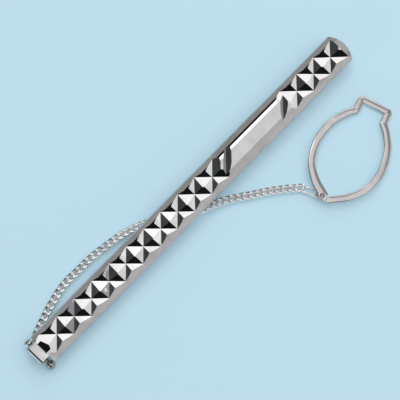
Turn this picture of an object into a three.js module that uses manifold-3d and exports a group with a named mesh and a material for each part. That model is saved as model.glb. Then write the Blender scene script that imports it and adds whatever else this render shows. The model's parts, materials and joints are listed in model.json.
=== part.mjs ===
// Slim tie bar with a diamond-cut face, a snap-hinged back jaw, a curb chain and a button loop.
// Millimetres, +Z up. The bar lies face up with its jaw flat on the surface z = 0.
// +X runs from the hinge (tail) to the nose, +Y across; the origin is under the middle of the bar.

import * as THREE from 'three';
import { mergeVertices } from 'three/addons/utils/BufferGeometryUtils.js';
import Module from 'manifold-3d';

const wasm = await Module();
wasm.setup();

// ---- driving dimensions ----

const BAR_LENGTH = 60; // tongue end to nose
const BAR_WIDTH = 4.6;
const BAR_HEIGHT = 3.3; // crest of the face above the surface
const TAIL_X = -BAR_LENGTH / 2;
const NOSE_X = BAR_LENGTH / 2;

const LAND_WIDTH = 2.6; // crowned strip along the middle of the face
const LAND_CROWN = 0.12; // rise of the land over its edges
const BAND_DROP = 0.8; // fall of each side band from the land to the side wall
const WALL = 0.45; // sheet thickness of the side walls
const ROOF = 0.85; // face thickness, deep enough for the cuts
const NOSE_BULGE = 0.9; // how far the nose arches out
const NOSE_BAND = 1.0; // width of the sloped end band

const TONGUE_LENGTH = 1.65;
const TONGUE_WIDTH = 2.7;
const TONGUE_STEP = 0.25; // top of the tongue below the crest
const TONGUE_WALL = 0.35;

const CUT_DEPTH = 0.4; // diamond cuts
const CUT_SLOPE = THREE.MathUtils.degToRad(20);
const CUT_PITCH = 3.3;
const CUT_ANGLE = THREE.MathUtils.degToRad(45);
const LONG_SECTION_START = 4.4; // first crossing, from the tongue end
const LONG_SECTION_COUNT = 10;
const SHORT_SECTION_BACK = 2.8; // last crossing, back from the nose
const SHORT_SECTION_COUNT = 3;
const END_CUT_STEP = 2.8; // single cut beyond a section's last crossing

const JAW_THICKNESS = 0.45;
const JAW_WIDTH = 3.0;
const MOUTH = 1.45; // between the jaw strip and the side walls
const JAW_NOSE_BACK = 0.7; // jaw ends this far short of the nose
const GRIP_LENGTH = 10;
const GRIP_LIFT = 1.15; // grip plate above the strip
const TOOTH_PITCH = 1.2;
const TOOTH_HEIGHT = 0.5;
const TOOTH_WIDTH = 0.4;

const PIN_RADIUS = 0.32;
const PIN_BACK = 1.0; // pin axis from the tongue end
const CAM_SIZE = 1.5; // square cam around the pin
const CAM_WIDTH = 1.7;
const PIN_BALL = 0.68; // radius of the ball head
const PIN_CLEAR = 0.05; // running clearance
const FIT_CLEAR = 0.03; // fixed fits
const SIDE_CLEAR = 0.15;

const SPRING_THICKNESS = 0.2;
const SPRING_LENGTH = 13.5;
const SPRING_REST_GAP = 0.05;
const RIVET_RADIUS = 0.28;
const RIVET_HEAD = 0.55;
const RIVET_PITCH = 2.4;

const CHAIN_WIDTH = 1.28;
const CHAIN_THICKNESS = 0.8;
const CHAIN_RING_WIRE = 0.18; // jump ring on the pin: wire radius
const CHAIN_RING_CLEAR = 0.1; // its play round the pin
const CHAIN_RING_SIDE = 1.95; // its place along the pin

const LOOP_LENGTH = 15.25; // from the eye end to the slot end
const LOOP_TURN = THREE.MathUtils.degToRad(16.7);
const LOOP_STRIP = 0.9; // width of the flat wire
const LOOP_THICKNESS = 0.5;
const LOOP_HALF_WIDTH = 5.4; // outside, at the widest place
const LOOP_SLOT_HALF = 2.55; // outside of the slot end
const LOOP_SLOT_DEPTH = 2.1;
const LOOP_LIFT = 0.95; // strip above the surface at the eye end
const EYE_RADIUS = 0.55;
const EYE_LENGTH = 0.5;
const EYE_PLACE = [0.2, 1.2]; // in the loop's own axes
const LINK_WIRE = 0.17;
const LINK_LENGTH = 2.4; // eye to the round end, along the middle of the wire
const LINK_HALF_WIDTH = 0.5;
const LINK_TURN = THREE.MathUtils.degToRad(8.3);
const LOOP_ORIGIN = [13.0, -13.05, 0.02];

// Middle line of the chain from the pin ring to the link ring, lying on the surface except where it
// passes through the mouth, over the jaw.
const CHAIN_ROUTE = [
  [-27.85, 2.1, 0.45],
  [-26.8, 2.45, 0.45],
  [-25.9, 2.78, 0.45],
  [-25.0, 3.08, 0.45],
  [-23.9, 3.45, 0.45],
  [-22.4, 3.85, 0.45],
  [-20.8, 4.2, 0.45],
  [-19.2, 4.35, 0.45],
  [-17.5, 4.3, 0.45],
  [-15.6, 4.28, 0.45],
  [-13.7, 4.12, 0.45],
  [-12.0, 3.88, 0.45],
  [-10.4, 3.62, 0.47],
  [-9.0, 3.25, 0.66],
  [-7.9, 2.82, 0.93],
  [-6.8, 2.28, 1.13],
  [-5.2, 1.28, 1.16],
  [-3.4, 0.1, 1.16],
  [-1.6, -1.02, 1.16],
  [-0.2, -1.75, 1.14],
  [1.2, -2.3, 1.1],
  [2.5, -2.85, 0.86],
  [3.9, -3.62, 0.6],
  [5.4, -4.62, 0.46],
  [7.0, -5.72, 0.45],
  [8.6, -6.78, 0.45],
  [10.0, -7.86, 0.45],
  [10.85, -8.58, 0.45],
  [11.5, -9.15, 0.45],
];

// ---- values worked out from the driving dimensions ----

const halfBar = BAR_WIDTH / 2;
const bandTop = BAR_HEIGHT - LAND_CROWN;
const bandFoot = bandTop - BAND_DROP;
const roofUnder = BAR_HEIGHT - ROOF;
const wallFoot = JAW_THICKNESS + MOUTH;
const earFoot = wallFoot - 0.7; // walls are deeper towards the hinge
const notchFoot = wallFoot - 0.1;
const bodyTail = TAIL_X + TONGUE_LENGTH;
const pinX = TAIL_X + PIN_BACK;
const pinZ = CAM_SIZE / 2;
const tongueTop = BAR_HEIGHT - TONGUE_STEP;
const tongueInside = TONGUE_WIDTH / 2 - TONGUE_WALL;
const springUnder = CAM_SIZE + SPRING_REST_GAP;
const springTopUnder = roofUnder - FIT_CLEAR - SPRING_THICKNESS;
const springWidth = (tongueInside - SIDE_CLEAR) * 2;
const chainRingRadius = PIN_RADIUS + CHAIN_RING_CLEAR + CHAIN_RING_WIRE;
const chainRingShift = CHAIN_RING_CLEAR * 0.4; // it hangs a little off the pin's axis
const rivetXs = [0, 1].map((i) => TAIL_X + SPRING_LENGTH - 1.2 - i * RIVET_PITCH);
const jawNose = NOSE_X - JAW_NOSE_BACK;
const gripEnd = jawNose - 2.3;
const gripStart = gripEnd - GRIP_LENGTH;
const NEAR = 1; // extra length of a cutter beyond what it cuts

// ---- helpers ----

// A closed geometry as a manifold solid.
function solid(geometry) {
  const bare = geometry.clone();
  bare.deleteAttribute('normal');
  bare.deleteAttribute('uv');
  const merged = mergeVertices(bare, 1e-5);
  return new wasm.Manifold(
    new wasm.Mesh({
      numProp: 3,
      vertProperties: new Float32Array(merged.attributes.position.array),
      triVerts: new Uint32Array(merged.index.array),
    })
  );
}

function geometryOf(body) {
  const mesh = body.getMesh();
  const geometry = new THREE.BufferGeometry();
  geometry.setAttribute('position', new THREE.BufferAttribute(mesh.vertProperties, 3));
  geometry.setIndex(new THREE.BufferAttribute(mesh.triVerts, 1));
  geometry.computeVertexNormals();
  return geometry;
}

function shapeOf(points) {
  return new THREE.Shape(points.map(([x, y]) => new THREE.Vector2(x, y)));
}

// A side outline (x, z) as a slab of the given width across Y.
function sideSlab(outline, width, middle = 0) {
  const shape = outline instanceof THREE.Shape ? outline : shapeOf(outline);
  const slab = new THREE.ExtrudeGeometry(shape, { depth: width, bevelEnabled: false, curveSegments: 8 });
  slab.rotateX(Math.PI / 2);
  slab.translate(0, middle + width / 2, 0);
  return solid(slab);
}

// A plan outline (x, y) as a slab between two heights.
function planSlab(outline, low, high) {
  const shape = outline instanceof THREE.Shape ? outline : shapeOf(outline);
  const slab = new THREE.ExtrudeGeometry(shape, { depth: high - low, bevelEnabled: false, curveSegments: 10 });
  slab.translate(0, 0, low);
  return solid(slab);
}

// A cross section (y, z) run along X.
function lengthSlab(section, from, to) {
  const slab = new THREE.ExtrudeGeometry(shapeOf(section), { depth: to - from, bevelEnabled: false });
  const turn = new THREE.Matrix4();
  turn.makeBasis(new THREE.Vector3(0, 1, 0), new THREE.Vector3(0, 0, 1), new THREE.Vector3(1, 0, 0));
  slab.applyMatrix4(turn);
  slab.translate(from, 0, 0);
  return solid(slab);
}

// A round rod across Y.
function crossRod(radius, from, to, x, z) {
  const rod = new THREE.CylinderGeometry(radius, radius, to - from, 24);
  rod.translate(x, (from + to) / 2, z);
  return solid(rod);
}

// A torus whose sections are moved onto a closed plan outline, run anticlockwise.
function wireRing(outline, wireRadius, sides) {
  const ring = new THREE.TorusGeometry(1, wireRadius, sides, outline.length);
  const place = ring.attributes.position;
  for (let side = 0; side <= sides; side++) {
    const turn = (side / sides) * Math.PI * 2;
    for (let i = 0; i <= outline.length; i++) {
      const here = outline[i % outline.length];
      const next = outline[(i + 1) % outline.length];
      const last = outline[(i + outline.length - 1) % outline.length];
      const out = new THREE.Vector2(next.y - last.y, last.x - next.x).normalize();
      const reach = wireRadius * Math.cos(turn);
      const at = side * (outline.length + 1) + i;
      place.setXYZ(at, here.x + out.x * reach, here.y + out.y * reach, wireRadius * Math.sin(turn));
    }
  }
  return ring;
}

function named(name, geometry, color, roughness, metalness = 1) {
  const material = new THREE.MeshStandardMaterial({ color, roughness, metalness });
  const mesh = new THREE.Mesh(geometry, material);
  mesh.name = name;
  return mesh;
}

// ---- the front bar ----

// Hexagonal section with a crowned land: points (y, z) from one foot round to the other.
function barSection(foot) {
  const half = LAND_WIDTH / 2;
  const steps = 6;
  const land = [];
  for (let i = 0; i <= steps; i++) {
    const y = half - (i / steps) * LAND_WIDTH;
    land.push([y, BAR_HEIGHT - LAND_CROWN * (y / half) ** 2]);
  }
  return [[-halfBar, foot], [halfBar, foot], [halfBar, bandFoot], ...land, [-halfBar, bandFoot]];
}

function channelSection(foot) {
  const half = halfBar - WALL;
  const slope = BAND_DROP / (halfBar - LAND_WIDTH / 2);
  const corner = bandFoot - 0.22;
  const inner = half - (roofUnder - corner) / slope;
  return [[-half, foot], [half, foot], [half, corner], [inner, roofUnder], [-inner, roofUnder], [-half, corner]];
}

// What lies outside the arched nose and its sloped end band.
function noseOffcut() {
  const radius = (halfBar ** 2 + NOSE_BULGE ** 2) / (2 * NOSE_BULGE);
  const middle = NOSE_X - radius;
  const profile = [
    new THREE.Vector2(0, -NEAR),
    new THREE.Vector2(radius, -NEAR),
    new THREE.Vector2(radius, bandFoot),
    new THREE.Vector2(radius - NOSE_BAND, BAR_HEIGHT),
    new THREE.Vector2(radius - NOSE_BAND - 0.5, BAR_HEIGHT + 0.4),
    new THREE.Vector2(0, BAR_HEIGHT + 0.4),
  ];
  const round = new THREE.LatheGeometry(profile, 72);
  round.rotateX(Math.PI / 2);
  round.translate(middle, 0, 0);
  const block = [[middle, -halfBar - NEAR], [NOSE_X + NEAR, -halfBar - NEAR]];
  const far = [[NOSE_X + NEAR, halfBar + NEAR], [middle, halfBar + NEAR]];
  return planSlab([...block, ...far], -NEAR / 2, BAR_HEIGHT + 0.3).subtract(solid(round));
}

// One straight V cut across the land, turned from the X axis.
function diamondCut(x, turn) {
  const above = 0.3;
  const half = (CUT_DEPTH + above) / Math.tan(CUT_SLOPE);
  const length = LAND_WIDTH / Math.sin(CUT_ANGLE) + 2;
  const wedge = new THREE.ExtrudeGeometry(
    shapeOf([[-half, above], [0, -CUT_DEPTH], [half, above]]),
    { depth: length, bevelEnabled: false }
  );
  wedge.translate(0, 0, -length / 2);
  wedge.rotateX(Math.PI / 2);
  wedge.rotateZ(turn);
  wedge.translate(x, 0, BAR_HEIGHT);
  return solid(wedge);
}

function diamondCuts() {
  const cuts = [];
  const firstLong = TAIL_X + LONG_SECTION_START;
  for (let i = 0; i < LONG_SECTION_COUNT; i++) {
    cuts.push(diamondCut(firstLong + i * CUT_PITCH, CUT_ANGLE));
    cuts.push(diamondCut(firstLong + i * CUT_PITCH, -CUT_ANGLE));
  }
  cuts.push(diamondCut(firstLong + (LONG_SECTION_COUNT - 1) * CUT_PITCH + END_CUT_STEP, -CUT_ANGLE));
  const lastShort = NOSE_X - SHORT_SECTION_BACK;
  for (let i = 0; i < SHORT_SECTION_COUNT; i++) {
    cuts.push(diamondCut(lastShort - i * CUT_PITCH, CUT_ANGLE));
    cuts.push(diamondCut(lastShort - i * CUT_PITCH, -CUT_ANGLE));
  }
  cuts.push(diamondCut(lastShort - (SHORT_SECTION_COUNT - 1) * CUT_PITCH - END_CUT_STEP, -CUT_ANGLE));
  return cuts;
}

// The short ramp that the graver leaves where the face ends above the tongue.
function tailRamp() {
  const start = bodyTail + 0.1;
  const outline = [[start, tongueTop], [start + 0.75, BAR_HEIGHT + 0.1], [start - 0.05, BAR_HEIGHT + 0.1]];
  return sideSlab(outline, LAND_WIDTH - 0.9);
}

// Everything under the side walls: a notch over the pin, deep ears, then shallow walls.
function underCut() {
  const outline = [
    [bodyTail - NEAR, -NEAR],
    [NOSE_X + NEAR, -NEAR],
    [NOSE_X + NEAR, wallFoot],
    [TAIL_X + BAR_LENGTH * 0.35, wallFoot],
    [TAIL_X + BAR_LENGTH * 0.27, earFoot],
    [bodyTail + 0.5, earFoot],
    [bodyTail + 0.5, notchFoot],
    [bodyTail - NEAR, notchFoot],
  ];
  return sideSlab(outline, BAR_WIDTH + NEAR);
}

// The tongue is a narrow hood: a roof that curls down at the end, and two flanges for the pin.
function tongueHood() {
  const flange = PIN_RADIUS + 0.28;
  const outline = new THREE.Shape();
  outline.moveTo(bodyTail + 0.6, tongueTop);
  outline.lineTo(TAIL_X + 0.7, tongueTop);
  outline.quadraticCurveTo(TAIL_X, tongueTop, TAIL_X, tongueTop - 0.65);
  outline.lineTo(TAIL_X, tongueTop - 0.95);
  outline.lineTo(pinX - flange, pinZ + 0.6);
  outline.lineTo(pinX - flange, pinZ);
  outline.absarc(pinX, pinZ, flange, Math.PI, 0, false);
  outline.lineTo(pinX + flange, pinZ + 0.5);
  outline.lineTo(bodyTail + 0.6, notchFoot);
  outline.closePath();
  const roof = tongueTop - WALL;
  const end = TAIL_X + 0.4;
  const hollow = sideSlab([[end, -NEAR], [bodyTail + 1, -NEAR], [bodyTail + 1, roof], [end, roof]], tongueInside * 2);
  const mouth = tongueTop - 1.05;
  const low = [[TAIL_X - NEAR, -NEAR], [pinX, -NEAR], [pinX, mouth], [TAIL_X - NEAR, mouth]];
  return {
    hood: sideSlab(outline, TONGUE_WIDTH),
    hollow: hollow.add(sideSlab(low, tongueInside * 2)),
  };
}

function frontBar() {
  let bar = lengthSlab(barSection(earFoot - 0.2), bodyTail, NOSE_X);
  bar = bar.subtract(noseOffcut());
  bar = bar.subtract(lengthSlab(channelSection(-NEAR), bodyTail + WALL, NOSE_X - 1.1));
  bar = bar.subtract(underCut());
  const { hood, hollow } = tongueHood();
  bar = bar.add(hood).subtract(hollow).subtract(tailRamp());
  for (const cut of diamondCuts()) {
    bar = bar.subtract(cut);
  }
  bar = bar.subtract(crossRod(PIN_RADIUS + FIT_CLEAR, -halfBar, halfBar, pinX, pinZ));
  for (const x of rivetXs) {
    const hole = new THREE.CylinderGeometry(RIVET_RADIUS + FIT_CLEAR, RIVET_RADIUS + FIT_CLEAR, 0.7, 20);
    hole.rotateX(Math.PI / 2);
    hole.translate(x, 0, roofUnder + 0.22 - 0.35);
    bar = bar.subtract(solid(hole));
  }
  return geometryOf(bar);
}

// ---- hinge pin, spring and rivets ----

// A turned pin: ball head on the -Y side, a spread end on the +Y side that keeps the ring on.
function hingePin() {
  const headPlace = TONGUE_WIDTH / 2 + 0.05 + PIN_BALL;
  const neck = Math.asin(PIN_RADIUS / PIN_BALL);
  const end = CHAIN_RING_SIDE + CHAIN_RING_WIRE + PIN_CLEAR * 2;
  const profile = [new THREE.Vector2(0, -headPlace - PIN_BALL)];
  const steps = 10;
  for (let i = 1; i <= steps; i++) {
    const turn = (i / steps) * (Math.PI - neck);
    const height = -headPlace - PIN_BALL * Math.cos(turn);
    profile.push(new THREE.Vector2(PIN_BALL * Math.sin(turn), height));
  }
  profile.push(new THREE.Vector2(PIN_RADIUS, end));
  profile.push(new THREE.Vector2(PIN_RADIUS + 0.2, end + 0.06));
  profile.push(new THREE.Vector2(PIN_RADIUS + 0.12, end + 0.26));
  profile.push(new THREE.Vector2(0, end + 0.34));
  const pin = new THREE.LatheGeometry(profile, 24);
  pin.translate(pinX, 0, pinZ);
  return pin;
}

function leafSpring() {
  const start = pinX - 0.5;
  const rise = pinX + 0.85;
  const flat = rise + 4.5;
  const end = TAIL_X + SPRING_LENGTH;
  const under = [[start, springUnder], [rise, springUnder], [flat, springTopUnder], [end, springTopUnder]];
  const over = under.map(([x, z]) => [x, z + SPRING_THICKNESS]).reverse();
  let leaf = sideSlab([...under, ...over], springWidth);
  for (const x of rivetXs) {
    const hole = new THREE.CylinderGeometry(RIVET_RADIUS + FIT_CLEAR, RIVET_RADIUS + FIT_CLEAR, 1, 20);
    hole.rotateX(Math.PI / 2);
    hole.translate(x, 0, springTopUnder);
    leaf = leaf.subtract(solid(hole));
  }
  return geometryOf(leaf);
}

function springRivet(x) {
  const headTop = springTopUnder - FIT_CLEAR;
  const top = roofUnder + 0.19;
  const profile = [
    new THREE.Vector2(0, headTop - 0.25),
    new THREE.Vector2(RIVET_HEAD * 0.6, headTop - 0.22),
    new THREE.Vector2(RIVET_HEAD, headTop - 0.08),
    new THREE.Vector2(RIVET_HEAD, headTop),
    new THREE.Vector2(RIVET_RADIUS, headTop),
    new THREE.Vector2(RIVET_RADIUS, top),
    new THREE.Vector2(0, top),
  ];
  const rivet = new THREE.LatheGeometry(profile, 20);
  rivet.rotateX(Math.PI / 2);
  rivet.translate(x, 0, 0);
  return rivet;
}

// ---- back jaw ----

// Side outline: square cam on the pin, flat strip, ramp, grip plate and a turned-down nose.
function jawSide() {
  const half = CAM_SIZE / 2;
  const chamfer = half - (half * 1.04 * Math.SQRT2 - half); // leaves a 45 degree flat for the open stop
  const t = JAW_THICKNESS;
  return [
    [pinX - half + 0.3, 0],
    [gripStart - 2.8, 0],
    [gripStart, GRIP_LIFT],
    [gripEnd, GRIP_LIFT],
    [jawNose, GRIP_LIFT - 0.85],
    [jawNose, GRIP_LIFT - 0.85 + t],
    [gripEnd, GRIP_LIFT + t],
    [gripStart - 0.2, GRIP_LIFT + t],
    [gripStart - 3.0, t],
    [pinX + half + 0.25, t],
    [pinX + half, t + 0.3],
    [pinX + half, CAM_SIZE],
    [pinX - half + chamfer, CAM_SIZE],
    [pinX - half, CAM_SIZE - chamfer],
    [pinX - half, 0.3],
  ].reverse();
}

function jawPlan() {
  const cam = CAM_WIDTH / 2;
  const half = JAW_WIDTH / 2;
  const neck = pinX + CAM_SIZE / 2 + 0.25;
  const right = [[pinX - CAM_SIZE, -cam], [neck, -cam], [neck + 3.5, -half], [gripEnd, -half], [jawNose - 0.4, -half + 0.3]];
  const tip = [[jawNose, -half + 0.7], [jawNose, half - 0.7]];
  const left = right.map(([x, y]) => [x, -y]).reverse();
  return [...right, ...tip, ...left];
}

function backJaw() {
  let jaw = sideSlab(jawSide(), JAW_WIDTH + NEAR);
  jaw = jaw.intersect(planSlab(jawPlan(), -NEAR, BAR_HEIGHT));
  const base = GRIP_LIFT + JAW_THICKNESS;
  const count = Math.floor((GRIP_LENGTH - 0.6) / TOOTH_PITCH);
  for (let i = 0; i < count; i++) {
    const x = gripStart + 0.4 + i * TOOTH_PITCH;
    const tooth = [[x, base - 0.1], [x + TOOTH_PITCH * 0.95, base - 0.1], [x + TOOTH_PITCH * 0.3, base + TOOTH_HEIGHT]];
    for (const side of [-1, 1]) {
      jaw = jaw.add(sideSlab(tooth, TOOTH_WIDTH, side * (JAW_WIDTH / 2 - TOOTH_WIDTH / 2)));
    }
  }
  jaw = jaw.subtract(crossRod(PIN_RADIUS + PIN_CLEAR, -halfBar, halfBar, pinX, pinZ));
  return geometryOf(jaw);
}

// ---- chain and its rings ----

function chainRing() {
  const ring = new THREE.TorusGeometry(chainRingRadius, CHAIN_RING_WIRE, 8, 20);
  ring.rotateX(Math.PI / 2);
  ring.translate(pinX + chainRingShift, CHAIN_RING_SIDE, pinZ + chainRingShift);
  return ring;
}

function chainTube() {
  const path = new THREE.CatmullRomCurve3(CHAIN_ROUTE.map((p) => new THREE.Vector3(...p)), false, 'centripetal');
  const sides = 8;
  const section = [];
  for (let i = 0; i < sides; i++) {
    const turn = ((i + 0.5) / sides) * Math.PI * 2;
    const reach = 0.5 / Math.cos(Math.PI / sides);
    const thick = CHAIN_THICKNESS * reach * Math.cos(turn);
    const wide = CHAIN_WIDTH * reach * Math.sin(turn);
    section.push([thick, wide]);
  }
  return new THREE.ExtrudeGeometry(shapeOf(section), { steps: 44, extrudePath: path, bevelEnabled: false });
}

// ---- button loop and link ring, in the loop's own axes: x from eye to slot, y to its left ----

// Outside of the loop's left half, from the slot end round to the eye end.
function loopHalf(inset) {
  const wide = LOOP_HALF_WIDTH - inset;
  const slotHalf = LOOP_SLOT_HALF - inset * 1.35;
  const shoulder = LOOP_LENGTH - LOOP_SLOT_DEPTH - inset * 0.35;
  const curve = new THREE.SplineCurve([
    new THREE.Vector2(shoulder, slotHalf),
    new THREE.Vector2(shoulder - 1.1, slotHalf + 1.05),
    new THREE.Vector2(shoulder * 0.75, wide * 0.89),
    new THREE.Vector2(shoulder * 0.52, wide),
    new THREE.Vector2(shoulder * 0.28 + inset * 0.2, wide * 0.87),
    new THREE.Vector2(1.3 + inset * 0.55, wide * 0.53),
    new THREE.Vector2(-0.4 + inset * 1.2, 0.75 - inset * 0.45),
  ]);
  return [new THREE.Vector2(LOOP_LENGTH - inset * 1.1, slotHalf), ...curve.getPoints(24)];
}

function loopOutline(inset) {
  const left = loopHalf(inset);
  const right = left.map((p) => new THREE.Vector2(p.x, -p.y)).reverse();
  return [...left, ...right];
}

function buttonLoop() {
  const shape = new THREE.Shape(loopOutline(0));
  shape.holes.push(new THREE.Path(loopOutline(LOOP_STRIP)));
  let loop = planSlab(shape, LOOP_LIFT, LOOP_LIFT + LOOP_THICKNESS);
  // the two ends of the wire meet with a fine slit that opens into a V inside the loop
  const slit = [[-NEAR, -0.15], [0.5, -0.15], [2, -0.6], [2, 0.45], [0.5, 0.15], [-NEAR, 0.15]];
  loop = loop.subtract(planSlab(slit, 0, BAR_HEIGHT));
  const barrel = new THREE.CylinderGeometry(EYE_RADIUS, EYE_RADIUS, EYE_LENGTH, 24);
  const bore = new THREE.CylinderGeometry(LINK_WIRE + 0.08, LINK_WIRE + 0.08, EYE_LENGTH + NEAR, 20);
  for (const round of [barrel, bore]) {
    round.rotateZ(-Math.PI / 2);
    round.rotateZ(LINK_TURN);
    round.translate(EYE_PLACE[0], EYE_PLACE[1], EYE_RADIUS);
  }
  loop = loop.add(solid(barrel)).subtract(solid(bore));
  return geometryOf(loop);
}

// A long ring: a straight side in the eye, sides that close in, and a round end for the chain.
function linkRing() {
  const corner = 0.3;
  const round = 0.36;
  const path = new THREE.Shape();
  path.moveTo(-LINK_HALF_WIDTH + corner, 0);
  path.lineTo(LINK_HALF_WIDTH - corner, 0);
  path.absarc(LINK_HALF_WIDTH - corner, corner, corner, -Math.PI / 2, 0, false);
  path.lineTo(round, LINK_LENGTH - round);
  path.absarc(0, LINK_LENGTH - round, round, 0, Math.PI, false);
  path.lineTo(-LINK_HALF_WIDTH, corner);
  path.absarc(-LINK_HALF_WIDTH + corner, corner, corner, Math.PI, Math.PI * 1.5, false);
  return wireRing(path.getSpacedPoints(48).slice(0, -1), LINK_WIRE, 8);
}

// ---- assembly ----

const bar = new THREE.Group();
bar.add(named('bar_shell', frontBar(), 0xc9c8c6, 0.16));
bar.add(named('hinge_pin', hingePin(), 0x8c8c8b, 0.3));
bar.add(named('leaf_spring', leafSpring(), 0x9a9894, 0.35));
rivetXs.forEach((x, i) => bar.add(named(`spring_rivet_${i + 1}`, springRivet(x), 0xa9a7a2, 0.35)));
bar.add(named('back_jaw', backJaw(), 0xbab8b5, 0.25));

const chain = new THREE.Group();
chain.add(named('pin_ring', chainRing(), 0xaeb0b0, 0.25));
chain.add(named('curb_chain', chainTube(), 0xb9bcbd, 0.28));

const loopGroup = new THREE.Group();
loopGroup.position.set(...LOOP_ORIGIN);
loopGroup.rotation.z = LOOP_TURN;
const link = named('link_ring', linkRing(), 0xb4b5b4, 0.25);
link.position.set(EYE_PLACE[0], EYE_PLACE[1], EYE_RADIUS);
link.rotation.z = LINK_TURN;
loopGroup.add(link);
const tilt = new THREE.Group();
tilt.position.set(EYE_PLACE[0], 0, EYE_RADIUS);
tilt.rotation.y = Math.asin(LOOP_LIFT / (LOOP_LENGTH - EYE_PLACE[0]));
const loop = named('button_loop', buttonLoop(), 0xb2aeac, 0.22);
loop.position.set(-EYE_PLACE[0], 0, -EYE_RADIUS);
tilt.add(loop);
loopGroup.add(tilt);

const tieBar = new THREE.Group();
tieBar.add(bar, chain, loopGroup);

export default tieBar;
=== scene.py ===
# Slim tie bar with a diamond-cut face, a hinged back jaw, a curb chain and a button loop.
# Blender 4.5. Distances in the dictionaries are millimetres, angles are degrees.

import json
import math
import random

import bpy
from mathutils import Matrix, Vector


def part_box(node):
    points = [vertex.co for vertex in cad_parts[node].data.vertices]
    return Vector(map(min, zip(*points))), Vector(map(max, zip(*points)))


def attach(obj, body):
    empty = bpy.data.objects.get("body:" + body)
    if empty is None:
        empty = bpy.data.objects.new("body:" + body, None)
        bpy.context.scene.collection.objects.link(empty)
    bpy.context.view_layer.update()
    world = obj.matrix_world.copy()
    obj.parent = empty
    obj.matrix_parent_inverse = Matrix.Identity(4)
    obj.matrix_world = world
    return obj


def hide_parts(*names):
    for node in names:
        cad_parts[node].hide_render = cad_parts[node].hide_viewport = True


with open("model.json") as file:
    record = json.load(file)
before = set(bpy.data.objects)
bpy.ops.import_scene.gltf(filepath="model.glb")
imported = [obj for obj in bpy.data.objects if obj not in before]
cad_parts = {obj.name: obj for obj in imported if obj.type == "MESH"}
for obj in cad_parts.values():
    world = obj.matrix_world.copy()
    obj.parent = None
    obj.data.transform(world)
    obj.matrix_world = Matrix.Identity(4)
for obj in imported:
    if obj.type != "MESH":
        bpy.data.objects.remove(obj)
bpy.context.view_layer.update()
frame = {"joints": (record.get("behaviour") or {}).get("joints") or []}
mm = 0.001
chance = random.Random(11)
print("frame loaded")

# the camera looks down on the face from a little below the middle
viewPoint = {
    "azimuth": -45.81,
    "elevation": 80.0,
    "distance": 300.0,
    "lookAt": (1.08, -0.69, 0.0),
    "lens": 198.6,
}


def placeCamera():
    bpy.ops.object.camera_add()
    camera = bpy.context.object
    camera.name = "studioCamera"
    tilt = math.radians(90 - viewPoint["elevation"])
    camera.rotation_euler = (tilt, 0, math.radians(viewPoint["azimuth"]))
    back = camera.rotation_euler.to_matrix() @ Vector((0, 0, 1))
    camera.location = (Vector(viewPoint["lookAt"]) + back * viewPoint["distance"]) * mm
    camera.data.lens = viewPoint["lens"]
    camera.data.sensor_width = 36
    camera.data.clip_start = 0.01
    camera.data.clip_end = 20
    bpy.context.scene.camera = camera


placeCamera()
print("camera placed")


# small helpers around bpy.ops, used for every piece below
def objectMode():
    if bpy.context.mode != "OBJECT":
        bpy.ops.object.mode_set(mode="OBJECT")


def holdOnly(*pieces):
    objectMode()
    bpy.ops.object.select_all(action="DESELECT")
    for piece in pieces:
        piece.select_set(True)
    bpy.context.view_layer.objects.active = pieces[0]


def editAll(piece):
    holdOnly(piece)
    bpy.ops.object.mode_set(mode="EDIT")
    bpy.ops.mesh.select_mode(type="VERT")
    bpy.ops.mesh.select_all(action="SELECT")


def pick(piece, test):
    # selects the vertices that pass a test on their place, in millimetres, and stays in edit mode
    editAll(piece)
    bpy.ops.mesh.select_all(action="DESELECT")
    bpy.ops.object.mode_set(mode="OBJECT")
    found = 0
    for vertex in piece.data.vertices:
        vertex.select = bool(test(*(vertex.co / mm)))
        found += vertex.select
    bpy.ops.object.mode_set(mode="EDIT")
    return found


def pickEdges(piece, test):
    # selects edges by a test on their two ends, in millimetres
    editAll(piece)
    bpy.ops.mesh.select_mode(type="EDGE")
    bpy.ops.mesh.select_all(action="DESELECT")
    bpy.ops.object.mode_set(mode="OBJECT")
    points = [vertex.co / mm for vertex in piece.data.vertices]
    for edge in piece.data.edges:
        edge.select = bool(test(points[edge.vertices[0]], points[edge.vertices[1]]))
    bpy.ops.object.mode_set(mode="EDIT")


def slide(piece, test, shift):
    if pick(piece, test):
        bpy.ops.transform.translate(value=Vector(shift) * mm)
    objectMode()


def extrude(shift):
    bpy.ops.mesh.extrude_region_move(TRANSFORM_OT_translate={"value": [s * mm for s in shift]})


def settle(piece, outward=True):
    # the place goes into the mesh, so the object sits at the origin
    holdOnly(piece)
    bpy.ops.object.transform_apply(location=True, rotation=True, scale=True)
    if outward:
        editAll(piece)
        bpy.ops.mesh.remove_doubles(threshold=0.000002)
        bpy.ops.mesh.normals_make_consistent(inside=False)
        objectMode()
    return piece


def called(name):
    piece = bpy.context.object
    piece.name = name
    piece.data.name = name
    return piece


def block(name, low, high):
    size = [h - l for l, h in zip(low, high)]
    middle = [(h + l) / 2 for l, h in zip(low, high)]
    bpy.ops.object.select_all(action="DESELECT")
    bpy.ops.mesh.primitive_cube_add(size=1, location=Vector(middle) * mm)
    piece = called(name)
    piece.scale = Vector(size) * mm
    return settle(piece, False)


def finishWith(piece, kind, **settings):
    holdOnly(piece)
    modifier = piece.modifiers.new(kind.lower(), kind)
    for key, value in settings.items():
        setattr(modifier, key, value)
    bpy.ops.object.modifier_apply(modifier=modifier.name)
    return piece


def carve(piece, tool, operation="DIFFERENCE"):
    finishWith(piece, "BOOLEAN", operation=operation, object=tool, solver="EXACT")
    bpy.data.objects.remove(tool)
    return piece


def join(pieces, name):
    holdOnly(*pieces)
    if len(pieces) > 1:
        bpy.ops.object.join()
    return called(name)


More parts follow.
